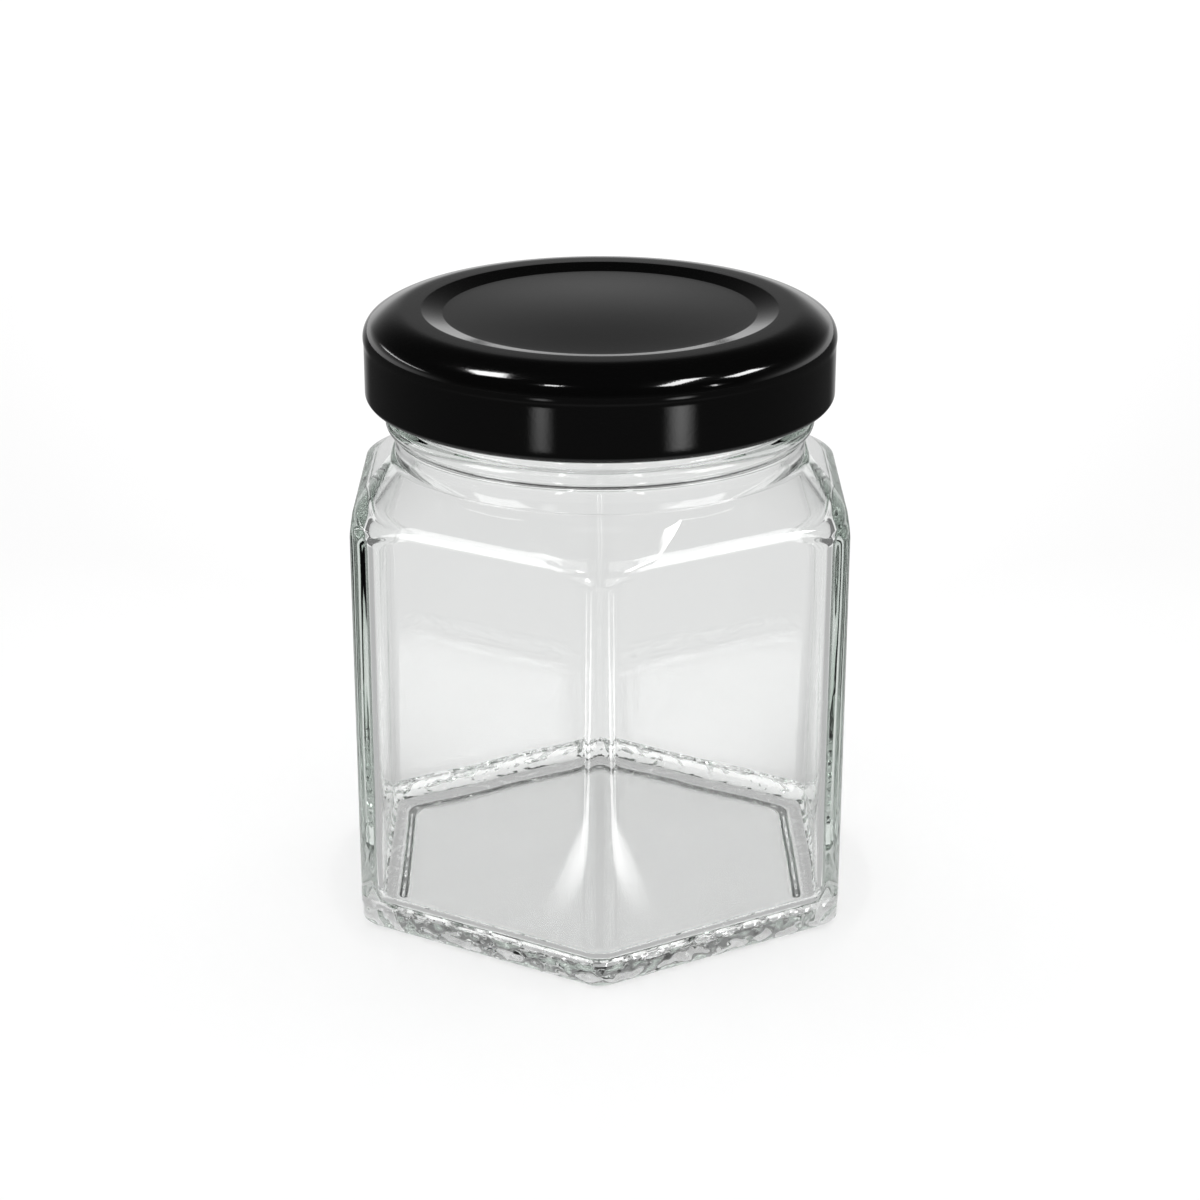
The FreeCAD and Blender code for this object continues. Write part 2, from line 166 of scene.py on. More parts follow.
class Finishes(bpy.types.PropertyGroup):
    glass: colour("Glass", "Surface tint of the soda-lime glass", "#FFFFFF")
    glass_depth: colour("Glass depth", "Tint that thick glass takes", "#CBDAD0")
    glass_density: FloatProperty(name="Glass density", description="Absorption in each metre of glass",
                                 default=18.0, min=0)
    lacquer: colour("Lacquer", "Black of the stoved lacquer", "#080808")
    compound: colour("Compound", "Grey of the sealing ring", "#8E8C86")
    floor: colour("Floor", "White of the table", "#C6C6C6")


class StudioSizes(bpy.types.PropertyGroup):
    camera_height: length("Camera height", "Camera above the table", 146.2)
    camera_distance: length("Camera distance", "Camera in front of the jar's axis", 293.1)
    aim_height: length("Aim height", "Height on the axis that the camera looks at", 32.86)
    lens: FloatProperty(name="Lens", description="Focal length in millimetres on a 36 mm sensor",
                        default=84.12)


# ---------------------------------------------------------------- meshes

def make_object(name, vertices, faces):
    """A smooth mesh object in the scene."""
    mesh = bpy.data.meshes.new(name)
    mesh.from_pydata(vertices, [], faces)
    mesh.validate()
    mesh.polygons.foreach_set("use_smooth", [True] * len(mesh.polygons))
    mesh.update()
    obj = bpy.data.objects.new(name, mesh)
    bpy.context.scene.collection.objects.link(obj)
    return obj


def skin(rings):
    """Vertices and faces over rings of points (rings, round, 3), closed at both ends by a point."""
    count, around = rings.shape[:2]
    ends = [rings[0].mean(axis=0), rings[-1].mean(axis=0)]
    vertices = np.concatenate([rings.reshape(-1, 3), np.array(ends)])
    first, last = count * around, count * around + 1
    here = np.arange(around)
    there = (here + 1) % around
    faces = []
    for row in range(count - 1):
        low, high = row * around, (row + 1) * around
        faces += np.stack([low + here, low + there, high + there, high + here], axis=1).tolist()
    top = (count - 1) * around
    faces += [(first, b, a) for a, b in zip(here.tolist(), there.tolist())]
    faces += [(last, top + a, top + b) for a, b in zip(here.tolist(), there.tolist())]
    return vertices.tolist(), faces


def turned_rings(profile, steps):
    """Rings of points round the axis, one for each (radius, height) of a profile."""
    angles = np.arange(steps) * 2 * math.pi / steps
    radius, height = np.array(profile).T
    return np.stack([radius[:, None] * np.cos(angles), radius[:, None] * np.sin(angles),
                     np.repeat(height[:, None], steps, axis=1)], axis=2)


def turn(profile, steps):
    """Vertices and faces of a closed profile of (radius, height) turned about the axis."""
    rings = turned_rings(profile, steps)
    count = len(profile)
    here = np.arange(steps)
    there = (here + 1) % steps
    faces = []
    for row in range(count):
        low, high = row * steps, (row + 1) % count * steps
        faces += np.stack([low + here, low + there, high + there, high + here], axis=1).tolist()
    return rings.reshape(-1, 3).tolist(), faces


def arc(centre, radius, first, last, steps):
    """Points (across, up) along an arc, its angles in degrees."""
    return [(centre[0] + radius * math.cos(a), centre[1] + radius * math.sin(a))
            for a in np.radians(np.linspace(first, last, steps + 1))]


def spread(first, last, steps):
    """Evenly spaced heights, or points (across, up), from first to last, both among them."""
    return np.linspace(first, last, steps + 1).tolist()


def smooth_step(value):
    """Eases from 0 to 1 as the value goes from 0 to 1."""
    value = np.clip(value, 0, 1)
    return value * value * (3 - 2 * value)


def between(first, last, steps):
    """Heights between two bends, crowded to both so that what lies between stays flat."""
    share = smooth_step(smooth_step(np.linspace(0, 1, steps + 1)))
    return (first + (last - first) * share)[1:-1]


# ---------------------------------------------------------------- glass

class Hexagon:
    """Directions round the axis and the reach of rounded hexagons in them, a corner at -Y."""

    def __init__(self):
        share = np.arange(STEPS_PER_SIDE) * 2 / STEPS_PER_SIDE - 1
        from_corner = HALF_SIDE * np.sign(share) * (
            CROWDED * np.abs(share) + (1 - CROWDED) * np.abs(share) ** CROWDING)
        corners = np.arange(6) * 2 * HALF_SIDE - math.pi / 2
        self.from_corner = np.tile(from_corner, 6)
        self.angles = np.repeat(corners, STEPS_PER_SIDE) + self.from_corner

    def reach(self, half, corner):
        """Distance from the axis to a hexagon of this half width and corner radius."""
        away = np.abs(self.from_corner)
        centre = (half - corner) / math.cos(HALF_SIDE)
        arc_end = math.atan2(corner * math.sin(HALF_SIDE), centre + corner * math.cos(HALF_SIDE))
        in_arc = np.clip(corner ** 2 - (centre * np.sin(away)) ** 2, 0, None)
        on_arc = centre * np.cos(away) + np.sqrt(in_arc)
        on_flat = half / np.cos(HALF_SIDE - away)
        return np.where(away <= arc_end, on_arc, on_flat)


def shoulder(half, corner, top_half, foot, top, edge, lead):
    """Sections (half, corner, height) from a hexagon to a near circle: a rounded edge, then a slope.

    The corners open sooner and faster than the flats lean in, so each ridge dies away low on it.
    """
    overhang, rise = half - top_half, top - foot
    reach = math.hypot(overhang - edge, rise)
    lean = math.acos(-edge / reach) - math.atan2(rise, overhang - edge)
    line = [(0.0, -lead * (1 - share)) for share in np.linspace(0, 1, 7)[:-1]]
    line += [(edge * (1 - math.cos(t)), edge * math.sin(t)) for t in np.linspace(0, lean, 10)]
    line += spread(line[-1], (overhang, rise), 15)[1:]
    sections = []
    for inward, up in line:
        opened = LED_OPEN * (1 + min(up, 0) / lead) ** 2
        opened += (1 - opened) * math.sqrt(inward / overhang)
        open_corner = corner + (top_half * ROUNDNESS - corner) * opened
        sections.append((half - inward, open_corner, foot + up))
    return sections


def outside_sections(sizes):
    """Sections of the outside from the middle of the base to the rim, with the part each belongs to."""
    half, rim, neck = JAR_HIGH.x, JAR_HIGH.z, sizes.neck()
    neck_foot, panel_top, bead_middle = sizes.neck_foot(), sizes.panel_top(), sizes.bead_middle()
    sections = []

    crown = half - sizes.bearing - sizes.push_up_slope
    for share in (0.04, 0.2, 0.4, 0.6, 0.8, 0.93):
        lift = sizes.push_up * (1 + 0.3 * (1 - share ** 2))
        sections.append(("push_up", crown * share, min(sizes.corner, crown * share * 0.5), lift))
    for share in np.linspace(0, 1, 9):
        drop = sizes.push_up * (1 - smooth_step(share))
        sections.append(("push_up", crown + sizes.push_up_slope * share, sizes.corner, float(drop)))
    edge, heel_start = half - sizes.bearing, half - sizes.heel
    for share in np.linspace(0, 1, 13)[1:]:
        sections.append(("bearing", edge + (heel_start - edge) * share, sizes.corner, 0.0))
    for across, up in arc((heel_start, sizes.heel), sizes.heel, -90, 0, 10)[1:]:
        sections.append(("heel", across, sizes.corner, up))
    for height in spread(sizes.heel, sizes.knurled, 6)[1:]:
        sections.append(("panel", half, sizes.corner, height))
    for height in between(sizes.knurled, panel_top - sizes.shoulder_lead, 12):
        sections.append(("panel", half, sizes.corner, height))
    for section in shoulder(half, sizes.corner, neck + sizes.ledge, panel_top, neck_foot,
                            sizes.shoulder_edge, sizes.shoulder_lead):
        sections.append(("shoulder", *section))

    cove = sizes.ledge * 0.5
    hip = sizes.bead * 0.35
    low_hip, high_hip = bead_middle - sizes.bead, bead_middle + sizes.bead
    profile = arc((neck + cove, neck_foot + cove), cove, -90, -180, 6)
    profile += spread((neck, neck_foot + cove), (neck, low_hip - hip * 0.3), 3)[1:]
    profile += arc((neck, bead_middle), sizes.bead, -76, 76, 16)
    profile += spread((neck, high_hip + hip * 0.3), (neck, rim - sizes.rim_round), 30)
    profile += arc((neck - sizes.rim_round, rim - sizes.rim_round), sizes.rim_round, 0, 90, 6)[1:]
    sections += [("neck", across, across, up) for across, up in profile]
    return sections


def inside_sections(sizes):
    """Sections of the inside from the rim to the middle of the floor."""
    rim, bore, cavity = JAR_HIGH.z, sizes.bore(), JAR_HIGH.x - sizes.wall
    foot, top = sizes.panel_top() - sizes.wall / 3, sizes.neck_foot() - sizes.wall / 3
    profile = arc((bore + sizes.rim_round, rim - sizes.rim_round), sizes.rim_round, 90, 180, 6)
    profile += spread((bore, rim - sizes.rim_round), (bore, top), 9)[1:-1]
    sections = [("bore", across, across, up) for across, up in profile]
    hollow = shoulder(cavity, sizes.inner_corner, bore, foot, top, sizes.shoulder_edge, sizes.shoulder_lead)
    for section in reversed(hollow):
        sections.append(("hollow", *section))
    for height in between(foot - sizes.shoulder_lead, sizes.floor + sizes.floor_round, 14):
        sections.append(("cavity", cavity, sizes.inner_corner, height))
    floor_edge = cavity - sizes.floor_round
    for across, up in arc((floor_edge, sizes.floor + sizes.floor_round), sizes.floor_round, 0, -90, 12):
        sections.append(("cavity", across, sizes.inner_corner - (cavity - across), up))
    low_corner = sizes.inner_corner - sizes.floor_round
    for share in (0.97, 0.9, 0.8, 0.65, 0.45, 0.25, 0.06):
        corner = low_corner + floor_edge * (1 - share) * 0.3
        sections.append(("floor", floor_edge * share, corner, sizes.floor))
    return sections


def thread_relief(angles, heights, sizes, bottom):
    """How far the sloping threads stand out from the neck, each with tapered ends."""
    relief = np.zeros_like(heights)
    sweep, climb = math.radians(THREAD_SWEEP), math.tan(math.radians(THREAD_SLOPE))
    for start in range(THREADS):
        begin = math.radians(THREAD_START + 360 / THREADS * start)
        along = (angles - begin) % (2 * math.pi)
        middle = bottom + sizes.thread_width * 0.42 + along * sizes.neck() * climb
        taper = smooth_step(along / math.radians(16)) * smooth_step((sweep - along) / math.radians(20))
        width = sizes.thread_width * 0.5 * (0.35 + 0.65 * taper)
        across = np.clip(1 - ((heights - middle) / width) ** 2, 0, 1)
        relief = np.maximum(relief, sizes.thread_height * taper ** 0.6 * across ** 0.75)
    return relief


def knurl_relief(angles, across, sizes):
    """Uneven bumps along and across the base, from 0 to about the knurls' height."""
    along = angles * JAR_HIGH.x / sizes.knurl_pitch
    bumps = np.zeros_like(angles)
    for number in range(1, 6):
        way = number * GOLDEN * 2 * math.pi
        size = 0.75 + 0.08 * number
        shift = across / sizes.knurl_pitch * math.sin(way)
        bumps += np.sin(2 * math.pi * size * (along * math.cos(way) + shift) + way * 5)
    return sizes.knurl * np.clip(0.5 + 0.25 * bumps, 0, 1.2)


def mould_waves(angles, heights, amount, seed):
    """Long soft waves that moulding leaves in glass."""
    waves = np.zeros_like(heights)
    for number in range(1, 5):
        phase = seed + number * GOLDEN * 7
        pitch = MM * (19 - 3 * number)
        waves += np.sin(angles * (2 + 3 * number) + phase) * np.sin(heights / pitch + phase * 2)
    return amount * waves / 2


def glass_rings(sizes):
    """Every point of the glass, outside and inside, as rings round the axis, and how knurled each ring is."""
    hexagon = Hexagon()
    around = hexagon.angles
    bead_top, thread_end = sizes.bead_middle() + sizes.bead, JAR_HIGH.z - 2 * MM
    rings, knurled = [], []
    for part, half, corner, height in outside_sections(sizes) + inside_sections(sizes):
        reach = hexagon.reach(half, corner)
        up = np.full_like(reach, height)
        base = float(part in ("bearing", "heel", "panel")) * smooth_step((sizes.knurled - height) / MM)
        knurled.append(base)
        if part in ("heel", "panel"):
            reach = reach - base * knurl_relief(around, half + height, sizes)
        if part == "neck" and sizes.bead_middle() < height < thread_end:
            reach = np.maximum(reach, sizes.neck() + thread_relief(around, up, sizes, bead_top))
        if part in ("cavity", "hollow"):
            calm = smooth_step((sizes.panel_top() - height) / (6 * MM))
            calm = calm * smooth_step((height - 2 * MM) / (8 * MM))
            reach = reach + mould_waves(around, up, sizes.wave, 1.0) * calm
        rings.append(np.stack([reach * np.cos(around), reach * np.sin(around), up], axis=1))
    return np.array(rings), knurled


class JAR_OT_glass(bpy.types.Operator):
    """Builds the glass: panels, shoulder, threaded neck, hollow and knurled base in one closed skin"""
    bl_idname = "glass_jar.glass"
    bl_label = "Glass"

    def execute(self, context):
        rings, knurled = glass_rings(context.scene.jar_glass)
        glass = make_object("glass_body", *skin(rings))
        marks = glass.data.attributes.new("knurled", "FLOAT", "POINT")
        marks.data.foreach_set("value", np.append(np.repeat(knurled, rings.shape[1]), (0, 0)))
        glass.data.materials.append(soda_lime_glass(context.scene.jar_finishes))
        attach(glass, "root")
        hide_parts("jar")
        return {"FINISHED"}


# ---------------------------------------------------------------- lid

def lid_outside(sizes, bore):
    """Points (radius, height) along the outside of the pressed sheet, from the axis to the curl's tip."""
    top = LID_HIGH.z
    roll, skirt = LID_HIGH.x, sizes.skirt()
    recess = bore - sizes.recess_inset
    panel = recess - sizes.recess_slope
    bend = sizes.bend
    low, high = Vector((panel, top - sizes.recess + bend)), Vector((recess, top - bend))
    span = high - low
    slope = math.atan2(span.y, span.x) + math.asin(2 * bend / span.length)
    tilt = math.degrees(slope)

    start = skirt - sizes.roll_width
    drop, side = sizes.roll_height, sizes.roll_side
    across = roll - side - start
    crown = (across ** 2 + drop ** 2 - side ** 2) / (2 * (drop - side))
    crown_centre = (start, top - crown)
    side_centre = (roll - side, top - drop)
    crown_end = math.degrees(math.atan2(side_centre[1] - crown_centre[1], side_centre[0] - crown_centre[0]))
    foot = sizes.roll_foot
    beyond = skirt + foot - side_centre[0]
    foot_centre = (skirt + foot, side_centre[1] - math.sqrt((side + foot) ** 2 - beyond ** 2))
    side_end = math.degrees(math.atan2(foot_centre[1] - side_centre[1], beyond))
    curl_centre = (skirt - sizes.curl, LID_LOW.z + sizes.curl)

    points = [(panel * share, top - sizes.recess + sizes.dome * (1 - share ** 2) ** 2)
              for share in np.linspace(0.02, 1, 20)]
    points += arc(low, bend, -90, tilt - 90, 4)[1:]
    points += arc(high, bend, tilt + 90, 90, 4)
    points += spread((recess, top), (start, top), 3)[1:]
    points += arc(crown_centre, crown, 90, crown_end, 12)[1:]
    points += arc(side_centre, side, crown_end, side_end, 18)[1:]
    points += arc(foot_centre, foot, side_end + 180, 180, 8)[1:]
    points += spread((skirt, foot_centre[1]), (skirt, curl_centre[1]), 6)[1:]
    points += arc(curl_centre, sizes.curl, 0, -225, 20)[1:]
    return points


def thicken(points, thickness):
    """The other side of a sheet: each point moved inwards, square to the outline."""
    line = np.array(points)
    along = np.gradient(line, axis=0)
    along /= np.linalg.norm(along, axis=1)[:, None]
    return line + np.stack([along[:, 1], -along[:, 0]], axis=1) * thickness


def sheet_of_revolution(outside, inside):
    """A thin sheet turned about the axis, closed on the axis by one point on each side."""
    profile = np.concatenate([np.array(outside), np.array(inside)[::-1]])
    return skin(turned_rings(profile, LID_STEPS)[::-1])


def lid_lug(sizes, neck, middle):
    """A folded lug: a flat tab with rounded ends that reaches in under a thread."""
    root, tip = sizes.skirt() - 2 * sizes.curl + sizes.sheet, neck + sizes.lug_gap
    height = LID_LOW.z + sizes.curl
    rings = []
    for share in np.linspace(-1, 1, 25):
        angle = math.radians(middle + LUG_HALF * share)
        full = math.sqrt(max(1 - abs(share) ** 5, 0.02))
        section = []
        for turn_by in np.radians(np.arange(16) * 22.5):
            across = math.copysign(abs(math.cos(turn_by)) ** 0.5, math.cos(turn_by))
            up = math.copysign(abs(math.sin(turn_by)) ** 0.5, math.sin(turn_by))
            radius = root + (tip - root) * (0.5 + 0.5 * across) * full
            section.append((radius * math.cos(angle), radius * math.sin(angle),
                            height + sizes.lug_thickness / 2 * up * full))
        rings.append(section)
    return skin(np.array(rings)[::-1])


class JAR_OT_lid(bpy.types.Operator):
    """Builds the pressed tinplate lid with its recess, roll, skirt, curled rim and lugs"""
    bl_idname = "glass_jar.lid"
    bl_label = "Lid"

    def execute(self, context):
        sizes, glass = context.scene.jar_lid, context.scene.jar_glass
        outside = lid_outside(sizes, glass.bore())
        inside = thicken(outside, sizes.sheet)
        vertices, faces = sheet_of_revolution(outside, inside)
        for number in range(sizes.lug_count):
            more, sides = lid_lug(sizes, glass.neck(), LUG_START + 360 * number / sizes.lug_count)
            faces += [[corner + len(vertices) for corner in side] for side in sides]
            vertices += more
        lid = make_object("lid_sheet", vertices, faces)
        lid.data.materials.append(stoved_lacquer(context.scene.jar_finishes))
        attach(lid, "root")
        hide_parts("lid")
        return {"FINISHED"}


class JAR_OT_compound(bpy.types.Operator):
    """Builds the ring of sealing compound between the lid and the rim"""
    bl_idname = "glass_jar.compound"
    bl_label = "Compound"

    def execute(self, context):
        low, high = SEAL_LOW.z, SEAL_HIGH.z
        inner, outer = context.scene.jar_glass.bore() - 0.3 * MM, SEAL_HIGH.x
        start = context.scene.jar_lid.skirt() - context.scene.jar_lid.roll_width
        middle = (low + high) / 2
        profile = spread((inner, low), (outer, low), 6) + spread((outer, middle), (start, high), 4)
        profile += spread((start, high), (inner, high), 3)[1:]
        ring = make_object("compound_ring", *turn(profile, COMPOUND_STEPS))
        ring.data.materials.append(sealing_compound(context.scene.jar_finishes))
        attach(ring, "root")
        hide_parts("seal_ring")
        return {"FINISHED"}


# ---------------------------------------------------------------- materials

def add_node(tree, kind, links=None, **settings):
    """Adds a node, gives its attributes, and sets or links its sockets by name or number."""
    node = tree.nodes.new(kind)
    for name, value in settings.items():
        setattr(node, name, value)
    for socket, value in (links or {}).items():
        if isinstance(value, bpy.types.NodeSocket):
            tree.links.new(value, node.inputs[socket])
        else:
            node.inputs[socket].default_value = value
    return node


def new_material(name):
    """An empty material and its node tree."""
    material = bpy.data.materials.new(name)
    material.use_nodes = True
    material.node_tree.nodes.clear()
    return material, material.node_tree


def soda_lime_glass(finishes):
    """Pressed soda-lime flint glass: clear with slow ripples, green where thick, knurled at its base."""
    material, tree = new_material("soda_lime_flint_glass")
    place = add_node(tree, "ShaderNodeTexCoord").outputs["Object"]
    ripple = add_node(tree, "ShaderNodeTexNoise", {"Vector": place, "Scale": 1 / (9 * MM), "Detail": 1.5})
    bump = add_node(tree, "ShaderNodeBump", {"Height": ripple.outputs["Fac"], "Strength": 0.25,
                                             "Distance": 0.1 * MM})
    base = add_node(tree, "ShaderNodeAttribute", attribute_name="knurled")
    knurls = add_node(tree, "ShaderNodeTexNoise", {"Vector": place, "Scale": 1 / (1.8 * MM), "Detail": 0.6})
    knurled = add_node(tree, "ShaderNodeMath", {0: knurls.outputs["Fac"], 1: base.outputs["Fac"]},
                       operation="MULTIPLY")
    rough = add_node(tree, "ShaderNodeBump", {"Height": knurled.outputs[0], "Strength": 1.0,
                                              "Distance": 1.3 * MM, "Normal": bump.outputs["Normal"]})
    surface = add_node(tree, "ShaderNodeBsdfPrincipled", {
        "Base Color": finishes.glass, "Roughness": 0.0, "IOR": 1.52, "Transmission Weight": 1.0,
        "Normal": rough.outputs["Normal"]})
    depth = add_node(tree, "ShaderNodeVolumeAbsorption", {"Color": finishes.glass_depth,
                                                          "Density": finishes.glass_density})
    add_node(tree, "ShaderNodeOutputMaterial", {"Surface": surface.outputs["BSDF"],
                                                "Volume": depth.outputs["Volume"]})
    return material


def stoved_lacquer(finishes):
    """Roller-coated lacquer stoved on tinplate: deep black, glossy, with a fine orange peel."""
    material, tree = new_material("stoved_black_lacquer")
    place = add_node(tree, "ShaderNodeTexCoord").outputs["Object"]
    peel = add_node(tree, "ShaderNodeTexNoise", {"Vector": place, "Scale": 1 / (0.35 * MM), "Detail": 2.0})
    bump = add_node(tree, "ShaderNodeBump", {"Height": peel.outputs["Fac"], "Strength": 0.3,
                                             "Distance": 0.01 * MM})
    cloud = add_node(tree, "ShaderNodeTexNoise", {"Vector": place, "Scale": 1 / (6 * MM), "Detail": 2.0})
    rough = add_node(tree, "ShaderNodeMapRange", {"Value": cloud.outputs["Fac"],
                                                  "To Min": 0.06, "To Max": 0.11})
    surface = add_node(tree, "ShaderNodeBsdfPrincipled", {
        "Base Color": finishes.lacquer, "Roughness": rough.outputs["Result"], "IOR": 1.5,
        "Normal": bump.outputs["Normal"]})
    add_node(tree, "ShaderNodeOutputMaterial", {"Surface": surface.outputs["BSDF"]})
    return material


def sealing_compound(finishes):
    """Flowed-in plastisol: soft grey rubber with a dull skin and small flow marks."""
    material, tree = new_material("plastisol_compound")
    place = add_node(tree, "ShaderNodeTexCoord").outputs["Object"]
    flow = add_node(tree, "ShaderNodeTexNoise", {"Vector": place, "Scale": 1 / (1.2 * MM), "Detail": 3.0})
    tone = add_node(tree, "ShaderNodeMix", {0: flow.outputs["Fac"], 6: finishes.compound,
                                            7: linear("#A3A19A")}, data_type="RGBA")
    bump = add_node(tree, "ShaderNodeBump", {"Height": flow.outputs["Fac"], "Strength": 0.3,
                                             "Distance": 0.03 * MM})
    surface = add_node(tree, "ShaderNodeBsdfPrincipled", {
        "Base Color": tone.outputs[2], "Roughness": 0.55, "IOR": 1.52, "Normal": bump.outputs["Normal"]})
    add_node(tree, "ShaderNodeOutputMaterial", {"Surface": surface.outputs["BSDF"]})
    return material


def seen_rays(tree):
    """A socket that is 1 for what is seen straight, mirrored or through glass, and the path node.

    It is 0 for light that a matt surface sent on.
    """
    path = add_node(tree, "ShaderNodeLightPath")
    sharp = add_node(tree, "ShaderNodeMath", {0: path.outputs["Is Glossy Ray"],
                                              1: path.outputs["Is Transmission Ray"]}, operation="MAXIMUM")
    seen = add_node(tree, "ShaderNodeMath", {0: path.outputs["Is Camera Ray"], 1: sharp.outputs[0]},
                    operation="MAXIMUM")
    first = add_node(tree, "ShaderNodeMath", {0: path.outputs["Diffuse Depth"], 1: 0.5},
                     operation="LESS_THAN")
    return add_node(tree, "ShaderNodeMath", {0: seen.outputs[0], 1: first.outputs[0]},
                    operation="MULTIPLY").outputs[0], path


def table_top(finishes):
    """Matt white acrylic: shadows stay in its diffuse part, the rest shines white to the lens."""
    material, tree = new_material("white_acrylic_table")
    surface = add_node(tree, "ShaderNodeBsdfPrincipled", {"Base Color": finishes.floor, "Roughness": 0.22,
                                                          "Specular IOR Level": 0.2})
    seen, _ = seen_rays(tree)
    glow = add_node(tree, "ShaderNodeMath", {0: seen, 1: TABLE_GLOW}, operation="MULTIPLY")
    shine = add_node(tree, "ShaderNodeEmission", {"Strength": glow.outputs[0]})
    both = add_node(tree, "ShaderNodeAddShader", {0: surface.outputs["BSDF"], 1: shine.outputs["Emission"]})
    add_node(tree, "ShaderNodeOutputMaterial", {"Surface": both.outputs["Shader"]})
    return material


def glowing_card_material(name, first_white, all_white, darkest, whitest, near, far):
    """Painted reflection: a card that glows, seen by gloss or glass alone, dark at the camera's side and
    white behind the jar.

    It starts pale and falls to that between the distances near and far from the jar.
    """
    material, tree = new_material(name)
    place = add_node(tree, "ShaderNodeTexCoord").outputs["Object"]
    way = add_node(tree, "ShaderNodeVectorMath", {0: place}, operation="NORMALIZE")
    back = add_node(tree, "ShaderNodeSeparateXYZ", {"Vector": way.outputs["Vector"]})
    white = add_node(tree, "ShaderNodeMapRange", {
        "Value": back.outputs["Y"], "From Min": first_white, "From Max": all_white,
        "To Min": darkest, "To Max": whitest}, interpolation_type="SMOOTHSTEP")
    away = add_node(tree, "ShaderNodeVectorMath", {0: place}, operation="LENGTH")
    start = add_node(tree, "ShaderNodeMapRange", {"Value": away.outputs["Value"], "From Min": far,
                                                  "From Max": near, "To Max": CARD_GLOW_NEAR},
                     interpolation_type="SMOOTHSTEP")
    card_glow = add_node(tree, "ShaderNodeMath", {0: white.outputs[0], 1: start.outputs[0]}, operation="MAXIMUM")
    seen, _ = seen_rays(tree)
    strength = add_node(tree, "ShaderNodeMix", {0: seen, 2: CARD_GLOW_NEAR, 3: card_glow.outputs[0]})
    # The card's glow is painted light: an emission that is seen only in gloss and through glass.
    shine = add_node(tree, "ShaderNodeEmission", {"Strength": strength.outputs[0]})
    add_node(tree, "ShaderNodeOutputMaterial", {"Surface": shine.outputs["Emission"]})
    return material


# ---------------------------------------------------------------- studio

# Softboxes: name, degrees round from the camera's side, degrees up, degrees rolled, distance, width,
# height, radiance, and the share of its size over which each edge fades.
SOFTBOXES = [
    ("left_softbox", -111, 62, 0, 0.9, 0.27, 0.17, 22, 0.12),
    ("left_strip", -114, 19, 0, 0.9, 0.8, 0.05, 6, 0.3),
    ("front_left_lamp", -33, 59, 0, 0.9, 0.1, 0.1, 22, 0.12),
    ("right_bar", 58, 59, 34, 0.9, 0.53, 0.12, 22, 0.12),
    ("right_softbox", 91, 44, 0, 0.9, 0.33, 0.15, 20, 0.12),
    ("right_low_lamp", 57, 23, 0, 0.9, 0.05, 0.13, 16, 0.2),
    ("low_left_card", -26, -13, 0, 0.185, 0.042, 0.055, 1.9, 0.5),
    ("low_right_card", 36, -13, 0, 0.185, 0.055, 0.055, 2.8, 0.5),
]

# The same for those that only the glass is lit by: for the bright lines along the panel tops, and
# two strips that stand close to the front corner for the lines on both sides of it.
GLASS_SOFTBOXES = [
    ("left_edge_softbox", -62, 22, 0, 0.9, 0.48, 0.73, 5, 0.2),
    ("right_edge_softbox", 62, 22, 0, 0.9, 0.48, 0.73, 5, 0.2),
    ("left_corner_strip", -19, -39, 0, 0.0587, 0.004, 0.045, 7, 0.3),
    ("right_corner_strip", 19, -39, 0, 0.0587, 0.004, 0.045, 7, 0.3),
]


def fade_edges(lamp, fade):
    """Lets a lamp's face dim towards its edges, as a softbox does."""
    lamp.use_nodes = True
    tree = lamp.node_tree
    tree.nodes.clear()
    face = add_node(tree, "ShaderNodeSeparateXYZ", {
        "Vector": add_node(tree, "ShaderNodeNewGeometry").outputs["Parametric"]})
    windows = []
    for side in ("X", "Y"):
        inside = add_node(tree, "ShaderNodeMath", {0: face.outputs[side], 1: 0.5}, operation="PINGPONG")
        windows.append(add_node(tree, "ShaderNodeMapRange", {"Value": inside.outputs[0], "From Max": fade},
                                interpolation_type="SMOOTHSTEP"))
    window = add_node(tree, "ShaderNodeMath", {0: windows[0].outputs[0], 1: windows[1].outputs[0]},
                      operation="MULTIPLY")
    shine = add_node(tree, "ShaderNodeEmission", {"Strength": window.outputs[0]})
    add_node(tree, "ShaderNodeOutputLight", {"Surface": shine.outputs["Emission"]})


def add_softbox(name, around, up, rolled, distance, width, height, radiance, fade, lit=None):
    """A lamp that faces the lid and shows only as gloss, its power from its face's radiance.

    Given a collection, it lights nothing else, and is seen both in it and through it.
    """
    lamp = bpy.data.lights.new(name, "AREA")
    lamp.shape = "RECTANGLE"
    lamp.size, lamp.size_y = width, height
    lamp.energy = radiance * math.pi * width * height
    fade_edges(lamp, fade)
    box = bpy.data.objects.new(name, lamp)
    around, up = math.radians(around), math.radians(up)
    away = Vector((math.sin(around) * math.cos(up), -math.cos(around) * math.cos(up), math.sin(up)))
    box.location = Vector((0, 0, LID_LOW.z)) + away * distance
    facing = (-away).to_track_quat("-Z", "Y") @ Quaternion((0, 0, 1), math.radians(rolled))
    box.rotation_euler = facing.to_euler()
    box.visible_camera = box.visible_diffuse = box.visible_transmission = False
    if lit:
        box.visible_transmission = True
        box.light_linking.receiver_collection = lit
    bpy.context.scene.collection.objects.link(box)


